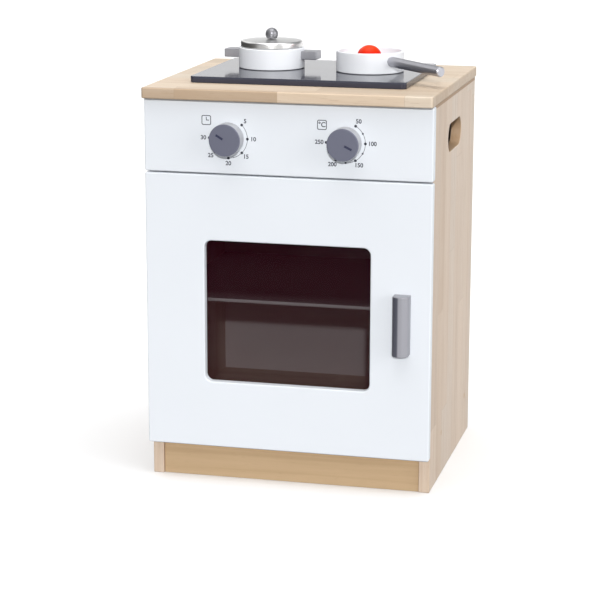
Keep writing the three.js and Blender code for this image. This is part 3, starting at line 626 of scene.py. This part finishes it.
print_ink = Finish("print_ink")
patchy = print_ink.noise(print_ink.place, 1500, 2)
dark = print_ink.mix(patchy, (0.02, 0.022, 0.038, 1), (0.045, 0.047, 0.07, 1))
scale_ink = print_ink.shade(Base_Color=dark, Roughness=0.6)
front_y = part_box("control_panel")[0].y
RING, SIGN, SIGN_LINE, ARC_LINE = 0.0267, 0.0122, 0.001, 0.0006
BIG_DOT, SMALL_DOT, NUMBER_SIZE, DEGREE_SIZE = 0.0019, 0.0013, 0.0079, 0.0092
CLOCK_HAND, HOUR_HAND = 0.0038, 0.0034
scales = {
    "timer": [(45, "5"), (0, "10"), (-45, "15"), (-90, "20"), (-135, "25"), (180, "30")],
    "oven": [(60, "50"), (0, "100"), (-60, "150"), (-120, "200"), (180, "250")],
}
for dial, marks in scales.items():
    low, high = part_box(f"{dial}_knob")
    shape = bmesh.new()
    for angle, words in marks:
        a = math.radians(angle)
        ink_disc(shape, RING * math.cos(a), RING * math.sin(a), BIG_DOT)
        across, up = RING + 0.0053 + 0.0014 * len(words), RING + 0.0072
        ink_text(shape, words, across * math.cos(a), up * math.sin(a), NUMBER_SIZE)
    if dial == "timer":
        sign_x, sign_z = -0.0305, 0.0239
        ink_arc(shape, 0, 0, RING, 45, -76, ARC_LINE)
        ink_bar(shape, (sign_x, sign_z), (sign_x, sign_z + CLOCK_HAND), SIGN_LINE)
        ink_bar(shape, (sign_x, sign_z), (sign_x + HOUR_HAND, sign_z), SIGN_LINE)
    else:
        sign_x, sign_z = -0.0325, 0.0232
        ink_arc(shape, 0, 0, RING, 60, -90, ARC_LINE)
        ink_text(shape, "°C", sign_x, sign_z, DEGREE_SIZE)
        for angle in (30, -30, -90, -150):
            a = math.radians(angle)
            ink_disc(shape, RING * math.cos(a), RING * math.sin(a), SMALL_DOT)
    ink_sign(shape, sign_x, sign_z, SIGN, SIGN_LINE)
    middle = ((low.x + high.x) / 2, front_y - 0.00003, (low.z + high.z) / 2)
    bmesh.ops.translate(shape, vec=middle, verts=shape.verts)
    wear(finished(shape, f"{dial}_scale_print", "cabinet", []), scale_ink)


# ---- Hob plate -------------------------------------------------------------------------------
# A thin board with rounded corners, lacquered charcoal and polished, glued flat on the worktop.
# Its gloss carries the reflections of the pans and of the bright wall behind.
def hob_lacquer():
    finish = Finish("hob_gloss")
    cloud = finish.noise(finish.place, 30, 3)
    speck = finish.noise(finish.place, 1800, 2)
    colour = finish.mix(cloud, (0.022, 0.024, 0.042, 1), (0.03, 0.032, 0.052, 1))
    return finish.shade(
        Base_Color=colour,
        Roughness=0.07 + cloud * 0.06,
        Normal=finish.bump(speck, 0.03, 0.00004),
    )


wear(welded("hob_plate", "hob_board", "cabinet"), hob_lacquer())


# ---- Saucepan --------------------------------------------------------------------------------
# Turned from one block of wood and sprayed white inside and out, with two square-cut handles
# tenoned into its wall and sprayed silver grey.
def turned(profile, centre, steps=96):
    """A half profile, radius and height from the foot of the axis to its top, spun full circle."""
    shape = bmesh.new()
    line = [shape.verts.new((radius, 0, height)) for radius, height in profile]
    edges = [shape.edges.new(pair) for pair in zip(line, line[1:])]
    circle = {"cent": (0, 0, 0), "axis": (0, 0, 1), "angle": math.tau, "steps": steps}
    bmesh.ops.spin(shape, geom=line + edges, use_merge=True, **circle)
    bmesh.ops.remove_doubles(shape, verts=shape.verts, dist=1e-6)
    bmesh.ops.recalc_face_normals(shape, faces=shape.faces)
    bmesh.ops.translate(shape, vec=centre, verts=shape.verts)
    return shape


def eased(profile, rounding, steps=4):
    """The same profile with each inner corner given its own rounding, in metres."""
    points = [Vector(profile[0])]
    for index in range(1, len(profile) - 1):
        here = Vector(profile[index])
        before, after = Vector(profile[index - 1]) - here, Vector(profile[index + 1]) - here
        reach = min(rounding[index], before.length * 0.49, after.length * 0.49)
        if reach <= 0:
            points.append(here)
            continue
        start, end = here + before.normalized() * reach, here + after.normalized() * reach
        for step in range(steps + 1):
            t = step / steps
            points.append(start * (1 - t) ** 2 + here * 2 * t * (1 - t) + end * t ** 2)
    points.append(Vector(profile[-1]))
    return points


def pan_shell(node, wall, base, name, body):
    low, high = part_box(node)
    radius, height = (high.x - low.x) / 2, high.z - low.z
    inner = radius - wall
    profile = eased(
        [(0, 0), (radius, 0), (radius, height), (inner, height), (inner, base), (0, base)],
        [0, 0.0016, 0.0017, 0.0017, 0.004, 0],
    )
    shape = turned(profile, ((low.x + high.x) / 2, (low.y + high.y) / 2, low.z))
    return finished(shape, name, body, [node], 60)


pan_paint = white_paint("pan_paint", (0.84, 0.855, 0.885, 1), 0.3)
wear(pan_shell("pot_body", 0.005, 0.005, "saucepan_shell", "saucepan"), pan_paint)
for side in ("left", "right"):
    wear(welded(f"pot_handle_{side}", f"saucepan_grip_{side}", "saucepan", 40), bar_paint)


# ---- Saucepan lid ----------------------------------------------------------------------------
# Pressed from thin bright steel with a deep rolled rim, brushed in circles, with a silver-grey
# ball knob cut flat underneath and pegged through its middle.
BRIGHT, DULL = (0.84, 0.84, 0.83, 1), (0.74, 0.74, 0.73, 1)


def brushed_steel(centre):
    finish = Finish("lid_steel")
    x, y = finish.x - centre.x, finish.y - centre.y
    away = (x * x + y * y) ** 0.5
    turning = finish.noise(finish.vector(away * 4200, finish.z * 4200, 0), 1.0, 3, 0.6)
    cloud = finish.noise(finish.place, 40, 2)
    return finish.shade(
        Base_Color=finish.mix(turning * 0.5 + cloud * 0.3, BRIGHT, DULL),
        Metallic=1.0,
        Roughness=0.27 + turning * 0.08,
        Normal=finish.bump(turning, 0.02, 0.00002),
    )


low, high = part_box("lid_disc")
lid_centre = (low + high) / 2
rim, plug, rest, top = (high.x - low.x) / 2, 0.037, 0.003, high.z - low.z
shoulder = top - 0.0018
band = 0.0072
profile = eased(
    [(0, 0), (plug, 0), (plug, rest), (rim, rest), (rim, shoulder), (rim - band, shoulder), (0, top)],
    [0, 0.0008, 0.0004, 0.0013, 0.0044, 0.004, 0],
    6,
)
lid_shape = turned(profile, (lid_centre.x, lid_centre.y, low.z))
lid = finished(lid_shape, "lid_pressing", "saucepan_lid", ["lid_disc"], 60)
wear(lid, brushed_steel(lid_centre))
low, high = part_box("lid_knob")
ball = (high.x - low.x) / 2
ball_height = high.z - low.z - ball
foot, peg = 0.0066, 0.0023
start = -math.acos(foot / ball)
arc = [start + (math.pi / 2 - start) * step / 24 for step in range(25)]
foot_height = ball_height + ball * math.sin(start)
profile = [(0, 0), (peg, 0), (peg, foot_height)]
profile += [(ball * math.cos(a), ball_height + ball * math.sin(a)) for a in arc]
profile[-1] = (0, ball_height + ball)
knob = turned(profile, ((low.x + high.x) / 2, (low.y + high.y) / 2, low.z), 64)
knob_ball = finished(knob, "lid_ball", "saucepan_lid", ["lid_knob"], 40)
wear(knob_ball, silver_paint("ball_paint", (0.23, 0.23, 0.245, 1), 0.75, 0.36))


# ---- Frying pan and tomato -------------------------------------------------------------------
# A second white turned pan with one long round handle pegged into its wall, and a glossy red
# wooden tomato lying loose inside it, its top painted lighter orange as a painted highlight.
wear(pan_shell("pan_body", 0.0045, 0.004, "frying_pan_shell", "frying_pan"), pan_paint)
wear(welded("pan_handle", "frying_pan_grip", "frying_pan", 40), bar_paint)


def tomato_lacquer(middle):
    finish = Finish("tomato_gloss")
    cloud = finish.noise(finish.place, 60, 3)
    # painted highlight: the upper part of the tomato is painted a lighter orange
    painted_top_light = finish.between(finish.z, middle + 0.004, middle + 0.018)
    colour = finish.mix(cloud, (0.72, 0.02, 0.003, 1), (0.6, 0.013, 0.002, 1))
    colour = finish.mix(painted_top_light * 0.6, colour, (0.9, 0.08, 0.008, 1))
    return finish.shade(Base_Color=colour, Roughness=0.3 + cloud * 0.06, Specular_IOR_Level=0.15)


low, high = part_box("tomato")
wide, tall = (high.x - low.x) / 2, high.z - low.z
foot_radius = 0.0045
flat = math.asin(foot_radius / wide)
squash = tall / (1 + math.cos(flat))
arc = [flat + (math.pi - flat) * step / 32 for step in range(33)]
profile = [(0, 0)] + [(wide * math.sin(a), squash * (math.cos(flat) - math.cos(a))) for a in arc]
profile[-1] = (0, tall)
fruit = turned(profile, ((low.x + high.x) / 2, (low.y + high.y) / 2, low.z), 64)
tomato = finished(fruit, "tomato_ball", "toy_tomato", ["tomato"], 60)
wear(tomato, tomato_lacquer((low.z + high.z) / 2))
